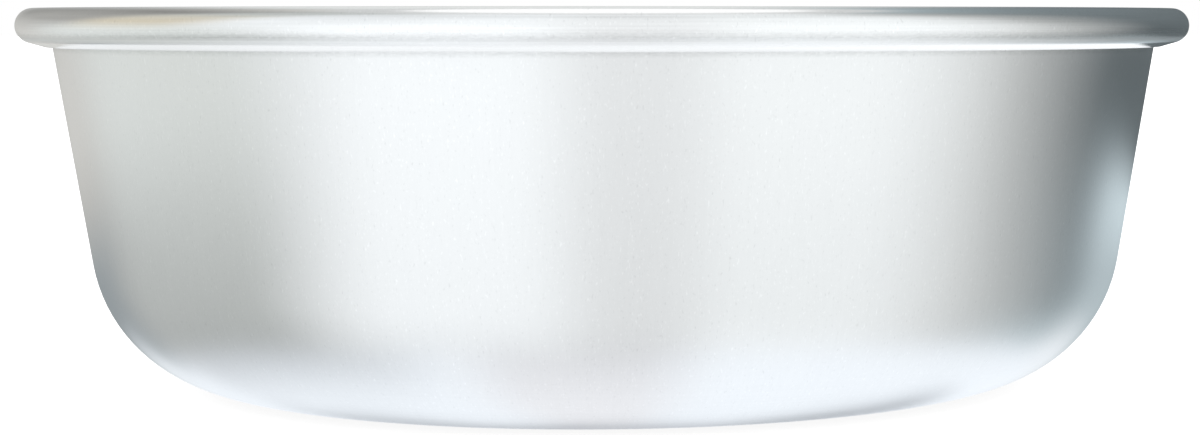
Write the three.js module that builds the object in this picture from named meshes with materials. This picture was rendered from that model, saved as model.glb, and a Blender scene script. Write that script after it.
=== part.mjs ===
// Ring cake pan, in millimetres, +Z up. The origin is the middle of the base, on the
// surface that the pan stands on.
//
// The pan has three pieces: an aluminium shell with its rim rolled over a wire, the steel
// wire inside that rim, and a tapered centre tube clinched into a collar of the shell.
// The shell and the tube are bent sheet. Each is drawn as the centreline of its sheet, a
// path of straight runs and bends in the plane of radius and height, then given its
// thickness and turned about the axis of the pan.
import * as THREE from "three";

const DEGREE = Math.PI / 180;
const RIGHT_ANGLE = 90 * DEGREE;

// Shell: the wall, the base and the collar
const PAN_HEIGHT = 77.5; // from the standing surface to the top of the rim
const MOUTH_DIAMETER = 225; // inside, where the wall's line meets the top of the rim
const SHELL_SHEET = 1.6; // thickness of the shell
const WALL_TAPER = 9.3 * DEGREE; // how far the wall leans out
const BASE_CORNER_RADIUS = 31; // outside, where the wall turns into the base
const TUBE_CORNER_RADIUS = 20; // outside, where the base turns up into the collar
const COLLAR_HEIGHT = 25; // from the standing surface to the cut edge of the collar

// Rolled rim and its wire
const RIM_BEND_RADIUS = 3; // at the mouth, on the inside of the pan
const RIM_LAND = 1.45; // flat between the two bends of the rim
const LIP_SLOPE = 16 * DEGREE; // how far the tucked lip falls towards the wall
const LIP_GAP = 0.4; // between the cut edge of the lip and the wall
const WIRE_DIAMETER = 3.2;
const WIRE_CLEARANCE = 0.3; // between the wire and the sheet rolled over it
const WIRE_BUTT_GAP = 1; // between the two cut ends of the wire

// Centre tube
const TUBE_SHEET = 1.2; // thickness of the tube
const TUBE_TOP_DIAMETER = 56; // outside, where the tube's line meets its top
const TUBE_TAPER = 9.3 * DEGREE; // how far the tube leans in
const TUBE_DROP = 4; // from the top of the rim down to the top of the tube
const TUBE_CURL_RADIUS = 2; // of the edge rolled into the bore, at mid sheet
const TUBE_CURL_SWEEP = 265 * DEGREE;
const FOOT_SWEEP = 45 * DEGREE; // how far the flared foot follows the shell's corner
const SEAM_CLEARANCE = 0.3; // between the tube and the collar around it
const SWAGE_FLANK = 70 * DEGREE; // steepness of the bead over the collar's edge

// Fineness of the turned and bent surfaces
const TURN_STEPS = 56;
const BEND_SAG = 0.08; // how far a facet may cut inside a bend
const SHORTEST_RUN = 1e-6; // below this, two bends meet with no straight run between them
const WIRE_SIDES = 8;

// Adds a bend to a path, after a straight run to where it starts. It goes clockwise where
// the angle falls.
function addBend(path, bend, startAngle, endAngle) {
  path.absarc(bend.r, bend.z, bend.radius, startAngle, endAngle, endAngle < startAngle);
}

// How many facets a curve of a path takes.
function facetsOf(curve) {
  if (curve.isLineCurve) {
    return 1;
  }
  const facetAngle = 2 * Math.acos(1 - BEND_SAG / curve.xRadius);
  return Math.ceil(Math.abs(curve.aEndAngle - curve.aStartAngle) / facetAngle);
}

// The closed section of a bent sheet, from its centreline.
function sheetSection(centreline, thickness) {
  const leftFace = [];
  const rightFace = [];
  const addStation = (curve, t) => {
    const at = curve.getPoint(t);
    const along = curve.getTangent(t);
    const toLeft = new THREE.Vector2(-along.y, along.x).multiplyScalar(thickness / 2);
    leftFace.push(at.clone().add(toLeft));
    rightFace.push(at.clone().sub(toLeft));
  };
  const curves = centreline.curves.filter((curve) => curve.getLength() > SHORTEST_RUN);
  addStation(curves[0], 0);
  for (const curve of curves) {
    const facets = facetsOf(curve);
    for (let facet = 1; facet <= facets; facet += 1) {
      addStation(curve, facet / facets);
    }
  }
  return [...rightFace, ...leftFace.reverse(), rightFace[0].clone()];
}

// A section of radius and height turned about the pan's axis.
function turned(section) {
  return new THREE.LatheGeometry(section, TURN_STEPS).rotateX(RIGHT_ANGLE);
}

// Radius of the wall's centreline at a height.
function wallRadiusAt(height) {
  const atMouth = MOUTH_DIAMETER / 2 + SHELL_SHEET / 2 / Math.cos(WALL_TAPER);
  return atMouth - (PAN_HEIGHT - height) * Math.tan(WALL_TAPER);
}

// Radius at a height of a cone that lies a distance outside the tube's outer face.
function tubeConeRadiusAt(height, outside) {
  const atTop = TUBE_TOP_DIAMETER / 2 + outside / Math.cos(TUBE_TAPER);
  return atTop + (PAN_HEIGHT - TUBE_DROP - height) * Math.tan(TUBE_TAPER);
}

// Bends that the pieces share: the shell's corner round the tube, which the tube's foot
// follows, and the rim's bead, which holds the wire.
const tubeCorner = {
  r: tubeConeRadiusAt(TUBE_CORNER_RADIUS, SEAM_CLEARANCE + TUBE_CORNER_RADIUS),
  z: TUBE_CORNER_RADIUS,
  radius: TUBE_CORNER_RADIUS - SHELL_SHEET / 2,
};
const rimBend = { z: PAN_HEIGHT - RIM_BEND_RADIUS, radius: RIM_BEND_RADIUS - SHELL_SHEET / 2 };
rimBend.r = wallRadiusAt(rimBend.z) + rimBend.radius / Math.cos(WALL_TAPER);
const beadRadius = WIRE_DIAMETER / 2 + WIRE_CLEARANCE + SHELL_SHEET;
const rimBead = {
  r: rimBend.r + RIM_LAND,
  z: PAN_HEIGHT - beadRadius,
  radius: beadRadius - SHELL_SHEET / 2,
};

// The cut edge of the collar, at mid sheet.
const collarOutside = SEAM_CLEARANCE + SHELL_SHEET / 2;
const collarEdge = new THREE.Vector2(
  tubeConeRadiusAt(COLLAR_HEIGHT, collarOutside),
  COLLAR_HEIGHT,
);

// Where the lip ends, at mid sheet: its upper corner stops LIP_GAP from the wall.
function lipEnd(lipStart) {
  const heading = new THREE.Vector2(-Math.cos(LIP_SLOPE), -Math.sin(LIP_SLOPE));
  const toUpperFace = new THREE.Vector2(heading.y, -heading.x).multiplyScalar(SHELL_SHEET / 2);
  const wallOut = new THREE.Vector2(Math.cos(WALL_TAPER), -Math.sin(WALL_TAPER));
  const onWall = new THREE.Vector2(wallRadiusAt(PAN_HEIGHT), PAN_HEIGHT);
  const fromWall = lipStart.clone().add(toUpperFace).sub(onWall).dot(wallOut);
  const reach = (fromWall - SHELL_SHEET / 2 - LIP_GAP) / -heading.dot(wallOut);
  return lipStart.clone().addScaledVector(heading, reach);
}

// From the collar's edge down, out along the base, up the wall and round the rim.
function shellCentreline() {
  const baseCorner = { z: BASE_CORNER_RADIUS, radius: BASE_CORNER_RADIUS - SHELL_SHEET / 2 };
  baseCorner.r = wallRadiusAt(baseCorner.z) - baseCorner.radius / Math.cos(WALL_TAPER);
  const collarFoot = tubeCorner.z - tubeCorner.radius * Math.sin(TUBE_TAPER);

  const path = new THREE.Path();
  path.moveTo(collarEdge.x, collarEdge.y);
  path.lineTo(tubeConeRadiusAt(collarFoot, collarOutside), collarFoot);
  addBend(path, tubeCorner, Math.PI + TUBE_TAPER, 3 * RIGHT_ANGLE);
  addBend(path, baseCorner, -RIGHT_ANGLE, -WALL_TAPER);
  addBend(path, rimBend, Math.PI - WALL_TAPER, RIGHT_ANGLE);
  addBend(path, rimBead, RIGHT_ANGLE, LIP_SLOPE - RIGHT_ANGLE);
  const lip = lipEnd(path.currentPoint);
  path.lineTo(lip.x, lip.y);
  return path;
}

// The swaged bead that locks the tube, flush with the collar's face: a crown between two
// fillets of the same radius. It starts SEAM_CLEARANCE past the collar's edge.
function addSwage(path) {
  const up = new THREE.Vector2(-Math.sin(TUBE_TAPER), Math.cos(TUBE_TAPER));
  const out = new THREE.Vector2(Math.cos(TUBE_TAPER), Math.sin(TUBE_TAPER));
  const besideEdge = collarEdge.clone().addScaledVector(out, -collarOutside - TUBE_SHEET / 2);
  const height = SEAM_CLEARANCE + SHELL_SHEET;
  const radius = height / 2 / (1 - Math.cos(SWAGE_FLANK));
  const spacing = 2 * radius * Math.sin(SWAGE_FLANK);
  const bendAt = (along, outwards) => {
    const centre = besideEdge.clone().addScaledVector(up, along).addScaledVector(out, outwards);
    return { r: centre.x, z: centre.y, radius };
  };
  const inwards = Math.PI + TUBE_TAPER;
  const start = SEAM_CLEARANCE;
  addBend(path, bendAt(start, radius), inwards, inwards - SWAGE_FLANK);
  const crown = bendAt(start + spacing, height - radius);
  addBend(path, crown, TUBE_TAPER - SWAGE_FLANK, TUBE_TAPER + SWAGE_FLANK);
  addBend(path, bendAt(start + 2 * spacing, radius), inwards + SWAGE_FLANK, inwards);
}

// From the flared foot up through the collar to the edge rolled into the bore.
function tubeCentreline() {
  const foot = { ...tubeCorner, radius: TUBE_CORNER_RADIUS + SEAM_CLEARANCE + TUBE_SHEET / 2 };
  const curl = {
    z: PAN_HEIGHT - TUBE_DROP - TUBE_SHEET / 2 - TUBE_CURL_RADIUS,
    radius: TUBE_CURL_RADIUS,
  };
  curl.r = tubeConeRadiusAt(curl.z, -TUBE_SHEET / 2 - TUBE_CURL_RADIUS);

  const path = new THREE.Path();
  addBend(path, foot, Math.PI + TUBE_TAPER + FOOT_SWEEP, Math.PI + TUBE_TAPER);
  addSwage(path);
  addBend(path, curl, TUBE_TAPER, TUBE_TAPER + TUBE_CURL_SWEEP);
  return path;
}

// The line of the wire, a ring that stops short of closing.
class WireRing extends THREE.Curve {
  getPoint(t, target = new THREE.Vector3()) {
    const gapAngle = WIRE_BUTT_GAP / rimBead.r;
    const angle = gapAngle / 2 + t * (2 * Math.PI - gapAngle);
    return target.set(rimBead.r * Math.cos(angle), rimBead.r * Math.sin(angle), 0);
  }
}

function panShell() {
  const aluminium = new THREE.MeshStandardMaterial({
    color: 0xc9cccb,
    roughness: 0.38,
    metalness: 1,
  });
  const mesh = new THREE.Mesh(turned(sheetSection(shellCentreline(), SHELL_SHEET)), aluminium);
  mesh.name = "pan_shell";
  return mesh;
}

function rimWire() {
  const section = new THREE.Shape().absarc(0, 0, WIRE_DIAMETER / 2, 0, 2 * Math.PI, false);
  const wire = new THREE.ExtrudeGeometry(section, {
    curveSegments: WIRE_SIDES,
    steps: TURN_STEPS,
    extrudePath: new WireRing(),
    bevelEnabled: false,
  });
  const steel = new THREE.MeshStandardMaterial({
    color: 0x9da2a5,
    roughness: 0.45,
    metalness: 1,
  });
  const mesh = new THREE.Mesh(wire, steel);
  mesh.name = "rim_wire";
  mesh.position.z = rimBead.z;
  return mesh;
}

function centreTube() {
  const aluminium = new THREE.MeshStandardMaterial({
    color: 0xc4c8c8,
    roughness: 0.34,
    metalness: 1,
  });
  const mesh = new THREE.Mesh(turned(sheetSection(tubeCentreline(), TUBE_SHEET)), aluminium);
  mesh.name = "centre_tube";
  return mesh;
}

const ringCakePan = new THREE.Group();
ringCakePan.add(panShell(), rimWire(), centreTube());

export default ringCakePan;
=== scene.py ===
"""Ring cake pan of satin aluminium sheet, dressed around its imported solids.

Run as a script, it builds the pan's three pieces and a plain studio round them. Lengths are
in metres and +Z is up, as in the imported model.
"""

import math
from typing import NamedTuple

import bmesh
import bpy
from bpy.props import FloatProperty, FloatVectorProperty, IntProperty, PointerProperty
from bpy.types import Operator, Panel, PropertyGroup
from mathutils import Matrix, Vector


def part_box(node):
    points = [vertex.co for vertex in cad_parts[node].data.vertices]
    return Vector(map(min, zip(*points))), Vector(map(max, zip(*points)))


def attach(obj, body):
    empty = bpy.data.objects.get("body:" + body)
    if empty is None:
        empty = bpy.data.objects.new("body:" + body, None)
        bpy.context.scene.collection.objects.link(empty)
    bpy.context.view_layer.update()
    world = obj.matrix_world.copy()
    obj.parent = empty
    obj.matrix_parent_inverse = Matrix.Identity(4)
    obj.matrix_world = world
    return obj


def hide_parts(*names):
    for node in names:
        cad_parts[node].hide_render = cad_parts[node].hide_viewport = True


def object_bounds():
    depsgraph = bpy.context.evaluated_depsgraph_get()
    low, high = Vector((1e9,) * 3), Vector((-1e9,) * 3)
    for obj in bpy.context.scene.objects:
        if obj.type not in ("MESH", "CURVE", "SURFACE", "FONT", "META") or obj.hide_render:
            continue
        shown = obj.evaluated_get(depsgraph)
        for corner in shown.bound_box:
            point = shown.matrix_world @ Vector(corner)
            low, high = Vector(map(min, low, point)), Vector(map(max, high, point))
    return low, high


bl_info = {
    "name": "Ring cake pan",
    "version": (1, 0, 0),
    "blender": (4, 5, 0),
    "location": "View3D > Sidebar > Ring Pan",
    "description": "Builds a ring cake pan of satin aluminium and a studio round it",
    "category": "Add Mesh",
}

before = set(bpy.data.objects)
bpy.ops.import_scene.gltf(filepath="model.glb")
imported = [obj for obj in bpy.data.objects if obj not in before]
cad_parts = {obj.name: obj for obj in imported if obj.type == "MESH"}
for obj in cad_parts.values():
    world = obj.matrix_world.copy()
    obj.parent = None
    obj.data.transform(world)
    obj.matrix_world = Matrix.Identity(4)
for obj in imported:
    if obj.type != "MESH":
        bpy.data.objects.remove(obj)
CAD_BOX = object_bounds()
SHELL_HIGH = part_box("pan_shell")[1]
WIRE_LOW, WIRE_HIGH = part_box("rim_wire")
TUBE_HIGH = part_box("centre_tube")[1]

BODY = "root"
RIGHT_ANGLE = math.pi / 2
FULL_TURN = 2 * math.pi
MILLIMETRE = 0.001

# Fineness of the meshes
BEND_STEP = math.radians(4)
RUN_STEP = 2.5 * MILLIMETRE
SHORTEST_RUN = 1e-7
EDGE_FACETS = 4
WIRE_ROUNDING = 6

# The unwrapped height of a section, the same on every piece so that marks keep their scale
UNWRAP_SPAN = 0.6


class ShellSizes(PropertyGroup):
    """Sizes of the spun shell."""

    height: FloatProperty(
        name="Height",
        description="From the standing surface to the top of the rim",
        default=SHELL_HIGH.z,
        precision=4,
        unit="LENGTH",
    )
    sheet: FloatProperty(
        name="Sheet",
        description="Thickness of the shell",
        default=1.6 * MILLIMETRE,
        precision=4,
        unit="LENGTH",
    )
    wall_taper: FloatProperty(
        name="Wall taper",
        description="How far the wall leans out",
        default=math.radians(9.3),
        subtype="ANGLE",
    )
    base_corner: FloatProperty(
        name="Base corner",
        description="Outside radius where the wall turns into the base",
        default=31 * MILLIMETRE,
        precision=4,
        unit="LENGTH",
    )
    tube_corner: FloatProperty(
        name="Tube corner",
        description="Outside radius where the base turns up into the collar",
        default=20 * MILLIMETRE,
        precision=4,
        unit="LENGTH",
    )
    collar_height: FloatProperty(
        name="Collar height",
        description="From the standing surface to the cut edge of the collar",
        default=25 * MILLIMETRE,
        precision=4,
        unit="LENGTH",
    )
    rim_bend: FloatProperty(
        name="Rim bend",
        description="Radius at the mouth, on the inside of the pan",
        default=3 * MILLIMETRE,
        precision=4,
        unit="LENGTH",
    )
    rim_land: FloatProperty(
        name="Rim land",
        description="Flat between the two bends of the rim",
        default=1.45 * MILLIMETRE,
        precision=4,
        unit="LENGTH",
    )
    lip_slope: FloatProperty(
        name="Lip slope",
        description="How far the tucked lip falls towards the wall",
        default=math.radians(16),
        subtype="ANGLE",
    )
    lip_gap: FloatProperty(
        name="Lip gap",
        description="Between the cut edge of the lip and the wall",
        default=0.4 * MILLIMETRE,
        precision=4,
        unit="LENGTH",
    )
    ripple: FloatProperty(
        name="Ripple",
        description="How far the formed sheet strays from a true circle",
        default=0.04 * MILLIMETRE,
        precision=5,
        unit="LENGTH",
    )
    steps: IntProperty(
        name="Steps",
        description="Facets round the axis",
        default=320,
        min=24,
    )


class WireSizes(PropertyGroup):
    """Sizes of the wire inside the rim."""

    diameter: FloatProperty(
        name="Diameter",
        description="Diameter of the wire",
        default=WIRE_HIGH.z - WIRE_LOW.z,
        precision=4,
        unit="LENGTH",
    )
    clearance: FloatProperty(
        name="Clearance",
        description="Between the wire and the sheet rolled over it",
        default=0.3 * MILLIMETRE,
        precision=4,
        unit="LENGTH",
    )
    butt_gap: FloatProperty(
        name="Butt gap",
        description="Between the two cut ends of the wire",
        default=1 * MILLIMETRE,
        precision=4,
        unit="LENGTH",
    )
    steps: IntProperty(
        name="Steps",
        description="Facets round the axis",
        default=240,
        min=24,
    )


class TubeSizes(PropertyGroup):
    """Sizes of the tapered centre tube."""

    top: FloatProperty(
        name="Top",
        description="From the standing surface to the top of the tube",
        default=TUBE_HIGH.z,
        precision=4,
        unit="LENGTH",
    )
    top_diameter: FloatProperty(
        name="Top diameter",
        description="Outside, where the tube's line meets its top",
        default=56 * MILLIMETRE,
        precision=4,
        unit="LENGTH",
    )
    sheet: FloatProperty(
        name="Sheet",
        description="Thickness of the tube",
        default=1.2 * MILLIMETRE,
        precision=4,
        unit="LENGTH",
    )
    taper: FloatProperty(
        name="Taper",
        description="How far the tube leans in",
        default=math.radians(9.3),
        subtype="ANGLE",
    )
    curl_radius: FloatProperty(
        name="Curl radius",
        description="Of the edge rolled into the bore, at mid sheet",
        default=2 * MILLIMETRE,
        precision=4,
        unit="LENGTH",
    )
    curl_sweep: FloatProperty(
        name="Curl sweep",
        description="How far the edge is rolled",
        default=math.radians(265),
        subtype="ANGLE",
    )
    foot_sweep: FloatProperty(
        name="Foot sweep",
        description="How far the flared foot follows the shell's corner",
        default=math.radians(45),
        subtype="ANGLE",
    )
    seam_clearance: FloatProperty(
        name="Seam clearance",
        description="Between the tube and the collar around it",
        default=0.3 * MILLIMETRE,
        precision=4,
        unit="LENGTH",
    )
    swage_flank: FloatProperty(
        name="Swage flank",
        description="Steepness of the bead over the collar's edge",
        default=math.radians(70),
        subtype="ANGLE",
    )
    steps: IntProperty(
        name="Steps",
        description="Facets round the axis",
        default=240,
        min=24,
    )


class FinishColours(PropertyGroup):
    """Colours and gloss of the metals."""

    shell: FloatVectorProperty(
        name="Shell",
        description="Satin aluminium of the shell",
        default=(0.88, 0.885, 0.885),
        size=3,
        subtype="COLOR",
        min=0,
        max=1,
    )
    tube: FloatVectorProperty(
        name="Tube",
        description="Satin aluminium of the tube",
        default=(0.86, 0.865, 0.87),
        size=3,
        subtype="COLOR",
        min=0,
        max=1,
    )
    wire: FloatVectorProperty(
        name="Wire",
        description="Drawn steel of the rim wire",
        default=(0.42, 0.43, 0.44),
        size=3,
        subtype="COLOR",
        min=0,
        max=1,
    )
    satin: FloatProperty(
        name="Satin",
        description="Mean roughness of the walls and the base",
        default=0.30,
        subtype="FACTOR",
        min=0,
        max=1,
    )
    rolled: FloatProperty(
        name="Rolled",
        description="Mean roughness where a roller has burnished the sheet",
        default=0.16,
        subtype="FACTOR",
        min=0,
        max=1,
    )
    grain: FloatProperty(
        name="Grain",
        description="How far the marks of forming stretch a highlight across them",
        default=0.72,
        subtype="FACTOR",
        min=0,
        max=1,
    )


class StudioSizes(PropertyGroup):
    """Places of the camera, the floor and the lamp, and the levels of the light."""

    camera_distance: FloatProperty(
        name="Camera distance",
        description="From the axis of the pan to the lens",
        default=0.6,
        unit="LENGTH",
    )
    camera_drop: FloatProperty(
        name="Camera drop",
        description="How far the lens lies below the top of the rim",
        default=2.1 * MILLIMETRE,
        precision=4,
        unit="LENGTH",
    )
    camera_tilt: FloatProperty(
        name="Camera tilt",
        description="How far the lens looks down",
        default=0.0696,
        subtype="ANGLE",
    )
    camera_turn: FloatProperty(
        name="Camera turn",
        description="How far the lens looks past the pan, to the right",
        default=0.0798,
        subtype="ANGLE",
    )
    frame_shift: FloatProperty(
        name="Frame shift",
        description="How far the frame lies to the left of the lens's axis, in frame widths",
        default=0.2,
        subtype="FACTOR",
    )
    lens: FloatProperty(
        name="Lens",
        description="Focal length on a sensor 36 mm wide",
        default=85.6,
        subtype="DISTANCE_CAMERA",
    )
    floor_reach: FloatProperty(
        name="Floor reach",
        description="From the pan to the edge of the floor",
        default=12,
        unit="LENGTH",
    )
    fill: FloatProperty(
        name="Fill",
        description="Level of the light that comes from all round",
        default=0.75,
        subtype="FACTOR",
    )
    lamp_distance: FloatProperty(
        name="Lamp distance",
        description="From the middle of the base to the soft box behind the pan",
        default=1.3,
        unit="LENGTH",
    )
    lamp_elevation: FloatProperty(
        name="Lamp elevation",
        description="How high the soft box stands above the floor",
        default=math.radians(75),
        subtype="ANGLE",
    )
    lamp_size: FloatVectorProperty(
        name="Lamp size",
        description="Width and depth of the soft box",
        default=(1.2, 0.7),
        size=2,
        unit="LENGTH",
    )
    lamp_level: FloatProperty(
        name="Lamp level",
        description="Level of the light from the soft box",
        default=0.15,
        subtype="FACTOR",
    )


class RingPanSettings(PropertyGroup):
    """All that a user may change."""

    shell: PointerProperty(type=ShellSizes)
    wire: PointerProperty(type=WireSizes)
    tube: PointerProperty(type=TubeSizes)
    colours: PointerProperty(type=FinishColours)
    studio: PointerProperty(type=StudioSizes)


def ring_pan(context):
    """The sizes and colours of the pan in this scene."""
    return context.scene.ring_pan


def heading(angle):
    """Unit vector at an angle in the plane of radius and height."""
    return Vector((math.cos(angle), math.sin(angle)))


def to_right(direction):
    """The direction a quarter turn clockwise."""
    return Vector((direction.y, -direction.x))


class SheetLine:
    """The centreline of a bent sheet in the plane of radius and height.

    A station is a place, a direction and a finish: the share of marks that run round the pan,
    the roughness, and the share of painted shade, below 0 where it is a painted highlight.
    """

    def __init__(self):
        self.stations = []

    def start(self, place, direction, finish):
        self.stations.append((place, direction, finish))

    def run_to(self, place, finish):
        """A straight run from the last station."""
        start, _, before = self.stations[-1]
        reach = place - start
        if reach.length < SHORTEST_RUN:
            return
        count = math.ceil(reach.length / RUN_STEP)
        for step in range(1, count + 1):
            share = step / count
            mixed = before.lerp(finish, share)
            self.stations.append((start + reach * share, reach.normalized(), mixed))

    def bend(self, centre, radius, first, last, finishes):
        """A bend after a straight run to its start. It goes clockwise where the angle falls."""
        way = math.copysign(1, last - first)
        begins, ends = finishes
        place = centre + radius * heading(first)
        if self.stations:
            self.run_to(place, begins)
        else:
            self.start(place, way * heading(first + RIGHT_ANGLE), begins)
        count = math.ceil(abs(last - first) / BEND_STEP)
        for step in range(1, count + 1):
            share = step / count
            angle = first + (last - first) * share
            direction = way * heading(angle + RIGHT_ANGLE)
            mixed = begins.lerp(ends, share)
            self.stations.append((centre + radius * heading(angle), direction, mixed))

    def section(self, thickness, edge_round):
        """The closed outline of the sheet, as places and their finishes."""
        half = thickness / 2
        right, left = [], []
        for place, direction, finish in self.stations:
            aside = to_right(direction) * half
            right.append((place + aside, finish))
            left.append((place - aside, finish))
        place, direction, finish = self.stations[-1]
        end = cut_edge(place, direction, half, edge_round, finish)
        place, direction, finish = self.stations[0]
        start = cut_edge(place, -direction, half, edge_round, finish)
        return right + end + left[::-1] + start


def cut_edge(place, direction, half, edge_round, finish):
    """A cut edge with its two corners eased, from the right face to the left."""
    right = to_right(direction)
    points = []
    for side, first in ((1, 0), (-1, RIGHT_ANGLE)):
        centre = place + right * side * (half - edge_round)
        for step in range(1, EDGE_FACETS):
            angle = first + RIGHT_ANGLE * step / EDGE_FACETS
            outwards = math.cos(angle) * right + math.sin(angle) * direction
            points.append((centre + edge_round * outwards, finish))
    return points


def turned_mesh(name, section, steps, stray=None):
    """A closed section turned about the axis, unwrapped along and round itself.

    stray gives how far a point lies outside a true circle, by its angle and height.
    """
    places = [place for place, _ in section]
    count = len(section)
    reach = [0.0]
    for index in range(count):
        reach.append(reach[-1] + (places[(index + 1) % count] - places[index]).length)
    model = bmesh.new()
    turning = model.verts.layers.float.new("turning")
    roughness = model.verts.layers.float.new("roughness")
    painted_shading = model.verts.layers.float.new("painted_shading")
    unwrap = model.loops.layers.uv.new("UVMap")
    rings = []
    for step in range(steps):
        angle = FULL_TURN * step / steps
        ring = []
        for place, finish in section:
            radius = place.x + (stray(angle, place.y) if stray else 0)
            corner = model.verts.new((radius * math.cos(angle), radius * math.sin(angle), place.y))
            corner[turning], corner[roughness], corner[painted_shading] = finish
            ring.append(corner)
        rings.append(ring)
    for step in range(steps):
        here, there = rings[step], rings[(step + 1) % steps]
        for index in range(count):
            after = (index + 1) % count
            face = model.faces.new((here[index], there[index], there[after], here[after]))
            face.smooth = True
            around = (step / steps, (step + 1) / steps)
            along = (reach[index] / UNWRAP_SPAN, reach[index + 1] / UNWRAP_SPAN)
            corners = ((0, 0), (1, 0), (1, 1), (0, 1))
            for loop, (u, v) in zip(face.loops, corners):
                loop[unwrap].uv = (around[u], along[v])
    mesh = bpy.data.meshes.new(name)
    model.to_mesh(mesh)
    model.free()
    return mesh


def add_piece(name, mesh, material, node):
    """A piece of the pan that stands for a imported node."""
    mesh.materials.append(material)
    piece = bpy.data.objects.new(name, mesh)
    bpy.context.scene.collection.objects.link(piece)
    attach(piece, BODY)
    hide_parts(node)
    return piece


class Rim:
    """Places that the shell and the wire share."""

    def __init__(self, pan):
        shell, wire = pan.shell, pan.wire
        self.bead_outside = wire.diameter / 2 + wire.clearance + shell.sheet
        self.bead_radius = self.bead_outside - shell.sheet / 2
        self.bead = Vector((SHELL_HIGH.x - self.bead_outside, shell.height - self.bead_outside))
        self.bend_radius = shell.rim_bend - shell.sheet / 2
        self.bend = Vector((self.bead.x - shell.rim_land, shell.height - shell.rim_bend))
        self.taper = shell.wall_taper

    def wall_radius(self, height):
        """Radius of the wall's centreline at a height."""
        at_bend = self.bend.x - self.bend_radius / math.cos(self.taper)
        return at_bend - (self.bend.y - height) * math.tan(self.taper)


class Seam:
    """Places that the shell's collar and the tube share."""

    def __init__(self, pan):
        shell, self.tube = pan.shell, pan.tube
        self.collar_outside = self.tube.seam_clearance + shell.sheet / 2
        corner_outside = self.tube.seam_clearance + shell.tube_corner
        corner_radius = self.cone_radius(shell.tube_corner, corner_outside)
        edge_radius = self.cone_radius(shell.collar_height, self.collar_outside)
        self.corner = Vector((corner_radius, shell.tube_corner))
        self.edge = Vector((edge_radius, shell.collar_height))

    def cone_radius(self, height, outside):
        """Radius at a height of a cone that lies a distance outside the tube's outer face."""
        at_top = self.tube.top_diameter / 2 + outside / math.cos(self.tube.taper)
        return at_top + (self.tube.top - height) * math.tan(self.tube.taper)


# Roughness where tools have scuffed the bead and tucked it under
SCUFFED_ROUGHNESS = 0.36
TUCKED_ROUGHNESS = 0.65

# Shares of painted shading: below 0, a painted highlight on the bead's tucked underside; above 0, a
# painted shadow on the wall below the lip
UNDERSIDE_HIGHLIGHT = -0.2
LIP_SHADOW_SHARE = 0.8


class Finishes:
    """How each stretch of sheet was left: marks that run round, roughness, and painted shading, a painted
    highlight where it is below 0.
    """

    def __init__(self, colours):
        self.drawn = Vector((0, colours.satin, 0))
        self.turned = Vector((1, colours.satin, 0))
        self.rolled = Vector((1, colours.rolled, 0))
        # Lower half of the bead: rougher, with a band of painted shade
        self.scuffed_and_shaded = Vector((1, SCUFFED_ROUGHNESS, 1))
        # Tucked underside: rougher still, with a painted highlight
        self.tucked = Vector((1, TUCKED_ROUGHNESS, UNDERSIDE_HIGHLIGHT))
        # Wall just below the lip: a painted shadow
        self.lip_shadowed = Vector((0, colours.satin, LIP_SHADOW_SHARE))


# Easing of the sheet's cut edges
EDGE_ROUND = 0.35 * MILLIMETRE

# Where the bead's lower half is rougher and darkened by a band of painted shade, and where its tucked
# underside is rougher still with a painted highlight, from level
SHADE_BAND_START = math.radians(-4)
SHADE_BAND_MIDDLE = math.radians(-32)
TUCK_MIDDLE = math.radians(-48)

# How far down the wall, from the top of the rim, the painted shadow below the lip is deepest and where it
# ends
LIP_SHADOW_MIDDLE = 7.9 * MILLIMETRE
LIP_SHADOW_END = 8.8 * MILLIMETRE


def lip_end(rim, shell, lip_start):
    """Where the lip ends, at mid sheet: its upper corner stops lip_gap from the wall."""
    along = -heading(shell.lip_slope)
    to_upper_face = to_right(along) * shell.sheet / 2
    wall_out = heading(-shell.wall_taper)
    on_wall = Vector((rim.wall_radius(shell.height), shell.height))
    from_wall = (lip_start + to_upper_face - on_wall).dot(wall_out)
    reach = (from_wall - shell.sheet / 2 - shell.lip_gap) / -along.dot(wall_out)
    return lip_start + along * (reach - EDGE_ROUND)


def shell_section(pan):
    """From the collar's edge down, out along the base, up the wall and round the rim."""
    shell, rim, seam = pan.shell, Rim(pan), Seam(pan)
    finishes = Finishes(pan.colours)
    drawn, turned, rolled = finishes.drawn, finishes.turned, finishes.rolled
    down = -heading(RIGHT_ANGLE + pan.tube.taper)
    line = SheetLine()
    line.start(seam.edge + down * EDGE_ROUND, down, drawn)
    corner_radius = shell.tube_corner - shell.sheet / 2
    inwards = math.pi + pan.tube.taper
    line.bend(seam.corner, corner_radius, inwards, 3 * RIGHT_ANGLE, (drawn, turned))
    corner_radius = shell.base_corner - shell.sheet / 2
    corner_reach = rim.wall_radius(shell.base_corner) - corner_radius / math.cos(shell.wall_taper)
    corner = Vector((corner_reach, shell.base_corner))
    line.bend(corner, corner_radius, -RIGHT_ANGLE, -shell.wall_taper, (turned, drawn))
    # The wall runs into a painted shadow just below the lip
    for depth, finish in ((LIP_SHADOW_END, drawn), (LIP_SHADOW_MIDDLE, finishes.lip_shadowed)):
        height = shell.height - depth
        line.run_to(Vector((rim.wall_radius(height), height)), finish)
    line.bend(rim.bend, rim.bend_radius, math.pi - shell.wall_taper, RIGHT_ANGLE, (drawn, rolled))
    under = shell.lip_slope - RIGHT_ANGLE
    angles = (RIGHT_ANGLE, SHADE_BAND_START, SHADE_BAND_MIDDLE, TUCK_MIDDLE, under)
    bead_finishes = (rolled, rolled, finishes.scuffed_and_shaded, finishes.tucked, rolled)
    for index in range(len(angles) - 1):
        first, last = angles[index:index + 2]
        line.bend(rim.bead, rim.bead_radius, first, last, bead_finishes[index:index + 2])
    line.run_to(lip_end(rim, shell, line.stations[-1][0]), rolled)
    return line.section(shell.sheet, EDGE_ROUND)


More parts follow.
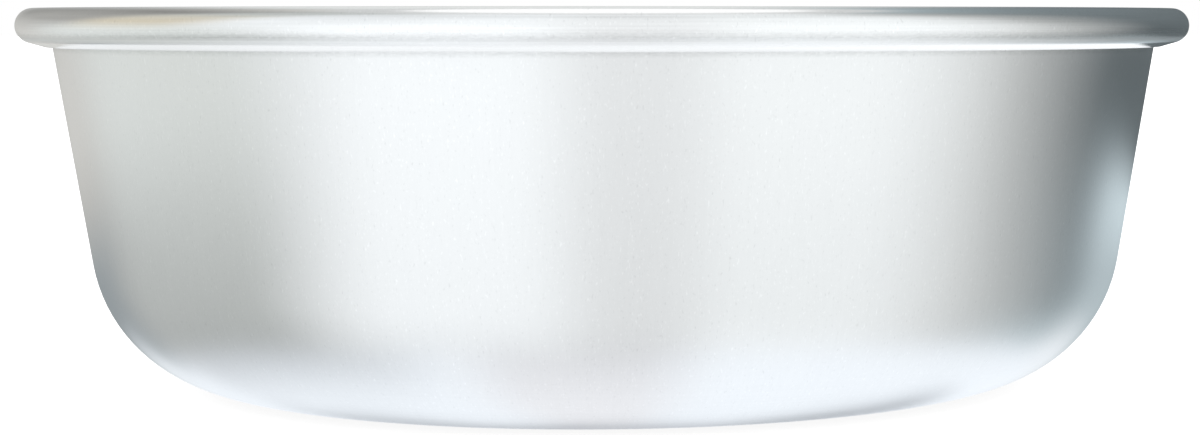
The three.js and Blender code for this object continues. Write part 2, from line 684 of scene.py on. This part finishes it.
def add_swage(line, pan, seam):
    """The bead that locks the tube, flush with the collar's face: a crown between two fillets."""
    tube, flank, finishes = pan.tube, pan.tube.swage_flank, Finishes(pan.colours)
    drawn, rolled = finishes.drawn, finishes.rolled
    up, out = heading(RIGHT_ANGLE + tube.taper), heading(tube.taper)
    beside_edge = seam.edge - out * (seam.collar_outside + tube.sheet / 2)
    height = tube.seam_clearance + pan.shell.sheet
    radius = height / 2 / (1 - math.cos(flank))
    spacing = 2 * radius * math.sin(flank)
    inwards = math.pi + tube.taper
    foot = beside_edge + up * tube.seam_clearance
    line.bend(foot + out * radius, radius, inwards, inwards - flank, (drawn, rolled))
    crown = foot + up * spacing + out * (height - radius)
    line.bend(crown, radius, tube.taper - flank, tube.taper + flank, (rolled, rolled))
    top = foot + up * 2 * spacing + out * radius
    line.bend(top, radius, inwards + flank, inwards, (rolled, drawn))


def tube_section(pan):
    """From the flared foot up through the collar to the edge rolled into the bore."""
    tube, shell, seam = pan.tube, pan.shell, Seam(pan)
    finishes = Finishes(pan.colours)
    line = SheetLine()
    foot_radius = shell.tube_corner + tube.seam_clearance + tube.sheet / 2
    seated = math.pi + tube.taper
    flared = seated + tube.foot_sweep - EDGE_ROUND / foot_radius
    line.bend(seam.corner, foot_radius, flared, seated, (finishes.turned, finishes.drawn))
    add_swage(line, pan, seam)
    curl_height = tube.top - tube.sheet / 2 - tube.curl_radius
    curl = Vector((seam.cone_radius(curl_height, -tube.sheet / 2 - tube.curl_radius), curl_height))
    curled = tube.taper + tube.curl_sweep - EDGE_ROUND / tube.curl_radius
    line.bend(curl, tube.curl_radius, tube.taper, curled, (finishes.drawn, finishes.rolled))
    return line.section(tube.sheet, EDGE_ROUND)


# Waves round the formed sheet, as their count, share and phase
RIPPLE_WAVES = ((3, 0.5, 0.4), (5, 0.3, 2.1), (8, 0.2, 4.0), (13, 0.1, 1.3))


def forming_ripple(reach, rim_height):
    """How far a formed sheet strays from a true circle: a few slow waves that grow to the rim."""

    def stray(angle, height):
        grows = (max(height, 0) / rim_height) ** 2
        waves = sum(share * math.sin(count * angle + phase) for count, share, phase in RIPPLE_WAVES)
        return reach * grows * waves

    return stray


class Shader:
    """The nodes of a material or a world, added and joined by short calls."""

    def __init__(self, owner):
        owner.use_nodes = True
        self.tree = owner.node_tree
        self.tree.nodes.clear()

    def add(self, kind, settings=None, **inputs):
        """A node with its settings and inputs: a socket is joined, a plain value is set."""
        made = self.tree.nodes.new(kind)
        for key, value in (settings or {}).items():
            setattr(made, key, value)
        for key, value in inputs.items():
            self.feed(made.inputs[key.replace("_", " ")], value)
        return made

    def feed(self, socket, value):
        """Joins a socket to another one, or sets it to a plain value."""
        if isinstance(value, bpy.types.NodeSocket):
            self.tree.links.new(value, socket)
        else:
            socket.default_value = value

    def attribute(self, name, output):
        """A value that the mesh stores at its corners."""
        return self.add("ShaderNodeAttribute", {"attribute_name": name}).outputs[output]

    def math(self, operation, *values):
        made = self.tree.nodes.new("ShaderNodeMath")
        made.operation = operation
        for socket, value in zip(made.inputs, values):
            self.feed(socket, value)
        return made.outputs[0]

    def blend(self, share, first, second):
        """Two surfaces or backgrounds mixed, by the share of the second."""
        made = self.add("ShaderNodeMixShader", Fac=share)
        self.feed(made.inputs[1], first)
        self.feed(made.inputs[2], second)
        return made.outputs[0]

    def vector(self, operation, *values, scale=None):
        made = self.tree.nodes.new("ShaderNodeVectorMath")
        made.operation = operation
        for socket, value in zip(made.inputs, values):
            self.feed(socket, value)
        if scale is not None:
            self.feed(made.inputs["Scale"], scale)
        return made.outputs[0]


# Marks on the metals, as their sizes round the pan and along the sheet
DRAWN_MARKS = (0.7 * MILLIMETRE, 7 * MILLIMETRE)
TURNED_MARKS = (45 * MILLIMETRE, 0.35 * MILLIMETRE)
PITTING = (0.35 * MILLIMETRE, 0.7 * MILLIMETRE)
SMEARS = (35 * MILLIMETRE, 22 * MILLIMETRE)
# Streaks in the painted shade on the bead and below the lip
SHADE_STREAKS = (1.1 * MILLIMETRE, 0.4 * MILLIMETRE)
WIRE_SCORES = (30 * MILLIMETRE, 0.3 * MILLIMETRE)

# Octaves of finer noise in most marks, in the pitting and in the smears, and how strong they are
MARK_DETAIL = 2.0
PITTING_DETAIL = 0.0
SMEAR_DETAIL = 3.0
DETAIL_STRENGTH = 0.55

# The mean of such noise, and the levels of pitting past which it leaves bright and dark specks
NOISE_MEAN = 0.5
BRIGHT_SPECK = 0.68
DARK_SPECK = 0.30

# Relief of the metals: the share of the marks beside the specks, and strengths and depths
MARK_RELIEF = 0.4
SATIN_STRENGTH = 0.6
SATIN_DEPTH = 0.006 * MILLIMETRE
WIRE_STRENGTH = 0.5
WIRE_DEPTH = 0.01 * MILLIMETRE

# How far marks and smears change the roughness
MARK_ROUGHNESS = 0.05
SMEAR_ROUGHNESS = 0.06
WIRE_ROUGHNESS = 0.35
WIRE_SCORE_ROUGHNESS = 0.2

# How far marks, specks, smears and painted shading change the tone
SATIN_TONE = 0.98
SPECK_TONE = 0.45
SMEAR_TONE = 0.04
DRAWN_CONTRAST = 0.04
TURNED_CONTRAST = 0.14
TURNED_TONE = 0.07
PAINTED_SHADE_TONE = 0.34
PAINTED_SHADE_OFFSET = -0.02

# A quarter turn, which stretches highlights across the marks of forming
ACROSS_THE_GRAIN = 0.25


def marks_field(shader, radius):
    """A function that gives noise stretched round and along the sheet, by sizes in metres."""
    place = shader.add("ShaderNodeTexCoord").outputs["Object"]
    flat = shader.vector("MULTIPLY", place, (1, 1, 0))
    round_axis = shader.vector("NORMALIZE", flat)
    unwrapped = shader.add("ShaderNodeUVMap", {"uv_map": "UVMap"}).outputs["UV"]
    along = shader.add("ShaderNodeSeparateXYZ", Vector=unwrapped).outputs["Y"]

    def field(size_round, size_along, detail=MARK_DETAIL):
        turn = shader.vector("SCALE", round_axis, scale=radius / size_round)
        run = shader.math("MULTIPLY", along, UNWRAP_SPAN / size_along)
        lift = shader.add("ShaderNodeCombineXYZ", Z=run).outputs["Vector"]
        where = shader.vector("ADD", turn, lift)
        noise = shader.add(
            "ShaderNodeTexNoise",
            Vector=where,
            Scale=1.0,
            Detail=detail,
            Roughness=DETAIL_STRENGTH,
        )
        return noise.outputs["Fac"]

    return field


def satin_aluminium(name, colour, pan, radius):
    """Satin aluminium: drawing marks on the walls, turning marks on bead and base, fine pitting."""
    material = bpy.data.materials.new(name)
    shader = Shader(material)
    field = marks_field(shader, radius)
    turning = shader.attribute("turning", "Fac")
    roughness = shader.attribute("roughness", "Fac")
    painted_shading = shader.attribute("painted_shading", "Fac")
    drawn_marks = field(*DRAWN_MARKS)
    turned_marks = field(*TURNED_MARKS)
    pitting = field(*PITTING, PITTING_DETAIL)
    smears = field(*SMEARS, SMEAR_DETAIL)
    scores = field(*SHADE_STREAKS)
    marks = shader.add(
        "ShaderNodeMix",
        {"data_type": "FLOAT"},
        Factor=turning,
        A=drawn_marks,
        B=turned_marks,
    ).outputs["Result"]
    bright = shader.math("MAXIMUM", shader.math("SUBTRACT", pitting, BRIGHT_SPECK), 0.0)
    dark = shader.math("MAXIMUM", shader.math("SUBTRACT", DARK_SPECK, pitting), 0.0)
    specks = shader.math("SUBTRACT", bright, dark)
    relief = shader.math("ADD", shader.math("MULTIPLY", marks, MARK_RELIEF), specks)
    bump = shader.add("ShaderNodeBump", Strength=SATIN_STRENGTH, Distance=SATIN_DEPTH, Height=relief)
    mean_change = NOISE_MEAN * (MARK_ROUGHNESS + SMEAR_ROUGHNESS)
    rough = shader.math("SUBTRACT", roughness, mean_change)
    rough = shader.math("MULTIPLY_ADD", marks, MARK_ROUGHNESS, rough)
    rough = shader.math("MULTIPLY_ADD", smears, SMEAR_ROUGHNESS, rough)
    tone = shader.math("MULTIPLY_ADD", specks, SPECK_TONE, SATIN_TONE)
    tone = shader.math("MULTIPLY_ADD", smears, SMEAR_TONE, tone)
    contrast = shader.math("MULTIPLY_ADD", turning, TURNED_CONTRAST - DRAWN_CONTRAST, DRAWN_CONTRAST)
    tone = shader.math("MULTIPLY_ADD", shader.math("SUBTRACT", marks, NOISE_MEAN), contrast, tone)
    tone = shader.math("MULTIPLY_ADD", turning, TURNED_TONE, tone)
    # Painted shade from the mesh's shading share, streaked; a painted highlight where the share is below 0
    scuffed_and_shaded = shader.math("MULTIPLY", painted_shading, shader.math("MULTIPLY_ADD", scores, PAINTED_SHADE_TONE, PAINTED_SHADE_OFFSET))
    tone = shader.math("SUBTRACT", tone, scuffed_and_shaded)
    shade = shader.vector("SCALE", tuple(colour), scale=tone)
    tangent = shader.add("ShaderNodeTangent", {"direction_type": "RADIAL", "axis": "Z"}).outputs[0]
    metal = shader.add(
        "ShaderNodeBsdfPrincipled",
        Base_Color=shade,
        Metallic=1.0,
        Roughness=rough,
        Anisotropic=pan.colours.grain,
        Anisotropic_Rotation=ACROSS_THE_GRAIN,
        Normal=bump.outputs["Normal"],
        Tangent=tangent,
    )
    shader.add("ShaderNodeOutputMaterial", Surface=metal.outputs[0])
    return material


def drawn_steel(name, colour, radius):
    """Plain drawn steel wire, dull, with fine marks along it."""
    material = bpy.data.materials.new(name)
    shader = Shader(material)
    field = marks_field(shader, radius)
    scores = field(*WIRE_SCORES)
    bump = shader.add("ShaderNodeBump", Strength=WIRE_STRENGTH, Distance=WIRE_DEPTH, Height=scores)
    rough = shader.math("MULTIPLY_ADD", scores, WIRE_SCORE_ROUGHNESS, WIRE_ROUGHNESS)
    metal = shader.add(
        "ShaderNodeBsdfPrincipled",
        Base_Color=(*colour, 1),
        Metallic=1.0,
        Roughness=rough,
        Normal=bump.outputs["Normal"],
    )
    shader.add("ShaderNodeOutputMaterial", Surface=metal.outputs[0])
    return material


def wire_mesh(name, pan):
    """The wire: a ring that stops short of closing, between its two cut ends."""
    rim = Rim(pan)
    wire = pan.wire
    line = bpy.data.curves.new(name, "CURVE")
    line.dimensions = "3D"
    line.bevel_depth = wire.diameter / 2
    line.bevel_resolution = WIRE_ROUNDING
    line.use_fill_caps = True
    spline = line.splines.new("POLY")
    gap = wire.butt_gap / rim.bead.x
    spline.points.add(wire.steps)
    for step, point in enumerate(spline.points):
        angle = gap / 2 + (FULL_TURN - gap) * step / wire.steps
        point.co = (rim.bead.x * math.cos(angle), rim.bead.x * math.sin(angle), rim.bead.y, 1)
    holder = bpy.data.objects.new(name, line)
    bpy.context.scene.collection.objects.link(holder)
    graph = bpy.context.evaluated_depsgraph_get()
    mesh = bpy.data.meshes.new_from_object(holder.evaluated_get(graph))
    bpy.data.objects.remove(holder)
    bpy.data.curves.remove(line)
    mesh.name = name
    return mesh


class RINGPAN_OT_shell(Operator):
    """Build the spun shell with its wall, base, collar and rolled rim"""

    bl_idname = "ringpan.shell"
    bl_label = "Spun Shell"

    def execute(self, context):
        pan = ring_pan(context)
        stray = forming_ripple(pan.shell.ripple, pan.shell.height)
        mesh = turned_mesh("spun_shell", shell_section(pan), pan.shell.steps, stray)
        metal = satin_aluminium("satin_aluminium_shell", pan.colours.shell, pan, SHELL_HIGH.x)
        add_piece("spun_shell", mesh, metal, "pan_shell")
        return {"FINISHED"}


class RINGPAN_OT_rim_wire(Operator):
    """Build the wire that the rim is rolled over"""

    bl_idname = "ringpan.rim_wire"
    bl_label = "Rim Wire"

    def execute(self, context):
        pan = ring_pan(context)
        mesh = wire_mesh("wire_ring", pan)
        steel = drawn_steel("drawn_steel_wire", pan.colours.wire, Rim(pan).bead.x)
        add_piece("wire_ring", mesh, steel, "rim_wire")
        return {"FINISHED"}


class RINGPAN_OT_centre_tube(Operator):
    """Build the tapered tube that is clinched into the collar"""

    bl_idname = "ringpan.centre_tube"
    bl_label = "Centre Tube"

    def execute(self, context):
        pan = ring_pan(context)
        mesh = turned_mesh("tapered_tube", tube_section(pan), pan.tube.steps)
        radius = pan.tube.top_diameter / 2
        metal = satin_aluminium("satin_aluminium_tube", pan.colours.tube, pan, radius)
        add_piece("tapered_tube", mesh, metal, "centre_tube")
        return {"FINISHED"}


WHITE = (1, 1, 1, 1)
BACKDROP_LEVEL = 1.0
FLOOR_COLOUR = (0.9, 0.905, 0.91, 1)
FLOOR_GLOW = 0.92
FLOOR_GAP = 0.2 * MILLIMETRE
FLOOR_SIDES = 96
SENSOR_WIDTH = 36

# A ray's depths are whole numbers: these lie between none and one, and between one and two
UNDER_ONE = 0.5
OVER_ONE = 1.5


def shows_backdrop(shader, path):
    """1 on rays from the lens, and on those mirrored or bent."""
    seen = shader.math("MAXIMUM", path["Is Camera Ray"], path["Is Glossy Ray"])
    return shader.math("MAXIMUM", seen, path["Is Transmission Ray"])


def white_floor(name):
    """White floor that keeps a soft shadow, and can be looked through from below."""
    material = bpy.data.materials.new(name)
    shader = Shader(material)
    path = shader.add("ShaderNodeLightPath").outputs
    undimmed = shader.math("LESS_THAN", path["Diffuse Depth"], UNDER_ONE)
    seen = shader.math("MULTIPLY", shows_backdrop(shader, path), undimmed)
    matt = shader.add("ShaderNodeBsdfDiffuse", Color=FLOOR_COLOUR).outputs[0]
    glow = shader.add("ShaderNodeEmission", Color=WHITE, Strength=FLOOR_GLOW).outputs[0]
    lit = shader.add("ShaderNodeAddShader")
    shader.feed(lit.inputs[0], matt)
    shader.feed(lit.inputs[1], glow)
    above = shader.blend(seen, matt, lit.outputs[0])
    below = shader.add("ShaderNodeBsdfTransparent").outputs[0]
    from_below = shader.add("ShaderNodeNewGeometry").outputs["Backfacing"]
    sided = shader.blend(from_below, above, below)
    shader.add("ShaderNodeOutputMaterial", Surface=sided)
    return material


def white_world(fill):
    """White all round for the lens and for the metal, and a plain fill for the rest."""
    world = bpy.data.worlds.new("white_studio")
    world.cycles.sampling_method = "NONE"
    bpy.context.scene.world = world
    shader = Shader(world)
    path = shader.add("ShaderNodeLightPath").outputs
    plain = shader.add("ShaderNodeBackground", Color=WHITE, Strength=fill).outputs[0]
    white = shader.add("ShaderNodeBackground", Color=WHITE, Strength=BACKDROP_LEVEL).outputs[0]
    sky = shader.blend(shows_backdrop(shader, path), plain, white)
    shader.add("ShaderNodeOutputWorld", Surface=sky)


def add_floor(reach):
    """A round floor just under the base."""
    model = bmesh.new()
    bmesh.ops.create_circle(model, cap_ends=True, radius=reach, segments=FLOOR_SIDES)
    mesh = bpy.data.meshes.new("white_floor")
    model.to_mesh(mesh)
    model.free()
    mesh.materials.append(white_floor("white_floor"))
    floor = bpy.data.objects.new("white_floor", mesh)
    floor.location.z = CAD_BOX[0].z - FLOOR_GAP
    floor.visible_glossy = False
    bpy.context.scene.collection.objects.link(floor)


def place_round(bearing, elevation, distance):
    """A point at a bearing from the lens side, to the right, and an elevation above the floor."""
    flat = distance * math.cos(elevation)
    return Vector((flat * math.sin(bearing), -flat * math.cos(bearing), distance * math.sin(elevation)))


def add_soft_box(studio):
    """A rectangular lamp behind and above the pan, aimed at it, which the metal doesn't show."""
    lamp = bpy.data.lights.new("top_soft_box", "AREA")
    lamp.shape = "RECTANGLE"
    lamp.size, lamp.size_y = studio.lamp_size
    lamp.energy = studio.lamp_level * math.pi * lamp.size * lamp.size_y
    holder = bpy.data.objects.new("top_soft_box", lamp)
    holder.location = place_round(math.pi, studio.lamp_elevation, studio.lamp_distance)
    aim = Vector((0, 0, SHELL_HIGH.z / 2)) - holder.location
    holder.rotation_euler = aim.to_track_quat("-Z", "Y").to_euler()
    holder.visible_camera = False
    holder.visible_glossy = False
    bpy.context.scene.collection.objects.link(holder)


class Drape(NamedTuple):
    """Cloth hung in the tent, by bearing in degrees from the lens and to the right.

    It has a level for each band of the tent that it covers.
    """

    middle: float
    reach: float
    fade: float
    tint: tuple
    levels: dict

    def cover(self, bearing):
        """1 where the cloth hangs, fading to 0 past its reach."""
        away = abs((bearing - self.middle + 180) % 360 - 180)
        share = min(max((self.reach + self.fade - away) / self.fade, 0), 1)
        return share * share * (3 - 2 * share)


# Plain tones of the tent: a painted shadow under the pan, the roof and the skylight
UNDER_PAN = (0.34, 0.36, 0.40)
ROOF = (0.66, 0.67, 0.67)
SKYLIGHT = (1.10, 1.10, 1.10)

# Rows of the tent from the floor up, as radius, height, and a band or a plain tone
TENT_ROWS = (
    (0.001, -0.050, UNDER_PAN),
    (0.020, -0.050, UNDER_PAN),
    (0.036, -0.050, "hub"),
    (0.080, -0.050, "mat"),
    (0.104, -0.050, "panel"),
    (0.134, -0.048, "ledge"),
    (0.142, -0.030, "skirt"),
    (0.150, -0.008, "foot"),
    (0.157, 0.012, "foot"),
    (0.160, 0.028, "waist"),
    (0.162, 0.041, "rim"),
    (0.165, 0.060, "rim"),
    (0.178, 0.100, "above"),
    (0.205, 0.220, "high"),
    (0.270, 0.500, "hem"),
    (0.260, 0.560, ROOF),
    (0.225, 0.600, ROOF),
    (0.195, 0.620, SKYLIGHT),
    (0.001, 0.620, SKYLIGHT),
)
TENT_STEPS = 180

# What hangs in the tent, each over those before it
DRAPES = (
    # Plain cloth all round, and a blue-white one on the floor
    Drape(180, 180, 1, (0.98, 1.00, 0.99), dict(
        skirt=0.62, foot=0.62, waist=0.65, rim=0.68, above=0.48, high=0.45, hem=0.55,
    )),
    Drape(180, 180, 1, (0.95, 1.00, 1.06), dict(hub=1.05, mat=1.05, panel=1.07, ledge=1.06)),
    # What all bands show in a second reflection: white, duller on the left and brighter in front
    Drape(180, 180, 1, (0.98, 1.00, 1.02), dict(again=1.18)),
    Drape(-95, 20, 40, (0.98, 1.00, 1.01), dict(again=1.02)),
    Drape(48, 14, 30, (0.98, 1.00, 1.02), dict(again=1.24)),
    # White cloth high at the back
    Drape(180, 30, 40, (0.98, 1.00, 0.99), dict(above=0.60, high=0.80, hem=0.80)),
    # Grey cloth behind the left shoulder, and blue-grey cloth at its foot
    Drape(-105, 10, 26, (1.01, 1.00, 0.96), dict(
        skirt=0.48, foot=0.40, waist=0.52, rim=0.64, above=0.29, high=0.35, hem=0.60,
    )),
    Drape(-122, 18, 22, (0.90, 1.00, 1.05), dict(skirt=0.40, foot=0.33)),
    # Pale card on the left, with a tan card over it, grey at its back edge and on the floor
    Drape(-68, 12, 26, (0.96, 1.00, 0.98), dict(
        skirt=0.44, foot=0.52, waist=0.68, rim=0.82, above=0.64, high=0.56, hem=0.52,
    )),
    Drape(-66, 12, 24, (1.10, 1.00, 0.80), dict(above=0.62)),
    Drape(-98, 8, 18, (1.01, 1.00, 0.96), dict(above=0.41, high=0.27)),
    Drape(-66, 22, 24, (0.95, 1.00, 1.06), dict(hub=1.04, mat=1.04, panel=0.94, ledge=0.70)),
    # White cloth in front, to the left and to the right of the lens
    Drape(-17, 12, 28, (0.97, 1.00, 1.02), dict(
        skirt=0.94, foot=1.06, waist=1.10, rim=1.13, above=1.02, high=0.85, hem=0.95,
    )),
    Drape(24, 8, 34, (0.97, 1.00, 1.01), dict(
        skirt=0.98, foot=0.97, waist=1.03, rim=1.08, above=1.01, high=0.85, hem=0.92,
    )),
    # White card over the left cloth
    Drape(-38, 6, 18, (0.97, 1.00, 1.02), dict(above=0.95, high=0.80)),
    # The gap that the lens looks through, and its shade on the floor
    Drape(3, 2, 14, (0.98, 1.00, 1.01), dict(
        skirt=0.76, foot=0.84, waist=0.87, rim=0.91, above=0.92, high=0.75, hem=0.92,
    )),
    Drape(-6, 8, 18, (0.99, 1.00, 1.04), dict(hub=0.96, mat=0.96, panel=0.90, ledge=0.78)),
    # Dark flag on the right, and a pale blue card beyond its foot
    Drape(110, 20, 42, (0.85, 1.00, 1.06), dict(
        skirt=0.58, foot=0.28, waist=0.21, rim=0.13, above=0.17, high=0.23, hem=0.44,
    )),
    Drape(120, 19, 22, (0.86, 1.00, 1.06), dict(foot=0.54, waist=0.84)),
    # White skirts far back on both sides
    Drape(-136, 19, 13, (0.95, 1.00, 1.05), dict(skirt=1.05)),
    Drape(125, 18, 22, (0.96, 1.00, 1.04), dict(skirt=0.97)),
    # Blue-grey shade under the far half of the pan
    Drape(176, 88, 40, (0.92, 1.00, 1.10), dict(hub=0.20)),
    Drape(169, 70, 30, (0.92, 1.00, 1.10), dict(mat=0.33)),
)


def tent_tones(bearing):
    """Colours of the tent's bands at a bearing in degrees."""
    tones = {}
    for drape in DRAPES:
        for band, level in drape.levels.items():
            tone = Vector(drape.tint) * level
            tones[band] = tones.get(band, tone).lerp(tone, drape.cover(bearing))
    return tones


def tent_mesh(name):
    """The tent turned about the axis, with the tones of its cloths stored at its corners."""
    model = bmesh.new()
    tones = model.verts.layers.float_color.new("tone")
    second_tones = model.verts.layers.float_color.new("second_tone")
    rings = [[] for _ in TENT_ROWS]
    for step in range(TENT_STEPS):
        bearing = FULL_TURN * step / TENT_STEPS
        bands = tent_tones(math.degrees(bearing))
        for (radius, height, cloth), ring in zip(TENT_ROWS, rings):
            corner = model.verts.new(place_round(bearing, 0, radius) + Vector((0, 0, height)))
            tone = bands[cloth] if isinstance(cloth, str) else cloth
            corner[tones] = (*tone, 1)
            corner[second_tones] = (*bands["again"], 1)
            ring.append(corner)
    for lower, upper in zip(rings, rings[1:]):
        for step in range(TENT_STEPS):
            after = (step + 1) % TENT_STEPS
            model.faces.new((lower[step], lower[after], upper[after], upper[step]))
    mesh = bpy.data.meshes.new(name)
    model.to_mesh(mesh)
    model.free()
    return mesh


def lit_cloth(name):
    """Cloth that glows with its own tones, which differ in a second reflection."""
    material = bpy.data.materials.new(name)
    material.cycles.emission_sampling = "NONE"
    shader = Shader(material)
    first = shader.attribute("tone", "Color")
    second = shader.attribute("second_tone", "Color")
    path = shader.add("ShaderNodeLightPath").outputs
    again = shader.math("GREATER_THAN", path["Glossy Depth"], OVER_ONE)
    change = shader.vector("SUBTRACT", second, first)
    tone = shader.vector("MULTIPLY_ADD", change, again, first)
    undimmed = shader.math("LESS_THAN", path["Diffuse Depth"], UNDER_ONE)
    glow = shader.add("ShaderNodeEmission", Color=tone, Strength=undimmed).outputs[0]
    shader.add("ShaderNodeOutputMaterial", Surface=glow)
    return material


def add_tent():
    """A tent of pale and dull cloth round the pan, out of view, for the metal to show."""
    mesh = tent_mesh("light_tent")
    mesh.materials.append(lit_cloth("light_tent"))
    tent = bpy.data.objects.new("light_tent", mesh)
    tent.visible_camera = False
    tent.visible_diffuse = False
    tent.visible_shadow = False
    bpy.context.scene.collection.objects.link(tent)


def add_camera(studio):
    """The lens, level with the rim. It looks a little down and past the pan, as in a cropped photo."""
    lens = bpy.data.cameras.new("studio_camera")
    lens.sensor_width = SENSOR_WIDTH
    lens.lens = studio.lens
    lens.shift_x = -studio.frame_shift
    holder = bpy.data.objects.new("studio_camera", lens)
    holder.location = (0, -studio.camera_distance, SHELL_HIGH.z - studio.camera_drop)
    holder.rotation_euler = (RIGHT_ANGLE - studio.camera_tilt, 0, -studio.camera_turn)
    bpy.context.scene.collection.objects.link(holder)
    bpy.context.scene.camera = holder


class RINGPAN_OT_stage(Operator):
    """Set up the floor, the lamp, the light tent and the camera"""

    bl_idname = "ringpan.stage"
    bl_label = "White Studio"

    def execute(self, context):
        studio = ring_pan(context).studio
        context.scene.view_settings.view_transform = "Standard"
        white_world(studio.fill)
        add_floor(studio.floor_reach)
        add_soft_box(studio)
        add_tent()
        add_camera(studio)
        return {"FINISHED"}


class RINGPAN_PT_pan(Panel):
    """Pieces of the ring cake pan"""

    bl_idname = "RINGPAN_PT_pan"
    bl_label = "Ring Cake Pan"
    bl_space_type = "VIEW_3D"
    bl_region_type = "UI"
    bl_category = "Ring Pan"

    def draw(self, context):
        for operator in OPERATORS:
            self.layout.operator(operator.bl_idname)


OPERATORS = (RINGPAN_OT_stage, RINGPAN_OT_shell, RINGPAN_OT_rim_wire, RINGPAN_OT_centre_tube)
GROUPS = (ShellSizes, WireSizes, TubeSizes, FinishColours, StudioSizes, RingPanSettings)
CLASSES = (*GROUPS, *OPERATORS, RINGPAN_PT_pan)


def register():
    for cls in CLASSES:
        bpy.utils.register_class(cls)
    bpy.types.Scene.ring_pan = PointerProperty(type=RingPanSettings)


def unregister():
    del bpy.types.Scene.ring_pan
    for cls in reversed(CLASSES):
        bpy.utils.unregister_class(cls)


def main():
    register()
    bpy.ops.ringpan.stage()
    bpy.ops.ringpan.shell()
    bpy.ops.ringpan.rim_wire()
    bpy.ops.ringpan.centre_tube()


if __name__ == "__main__":
    main()
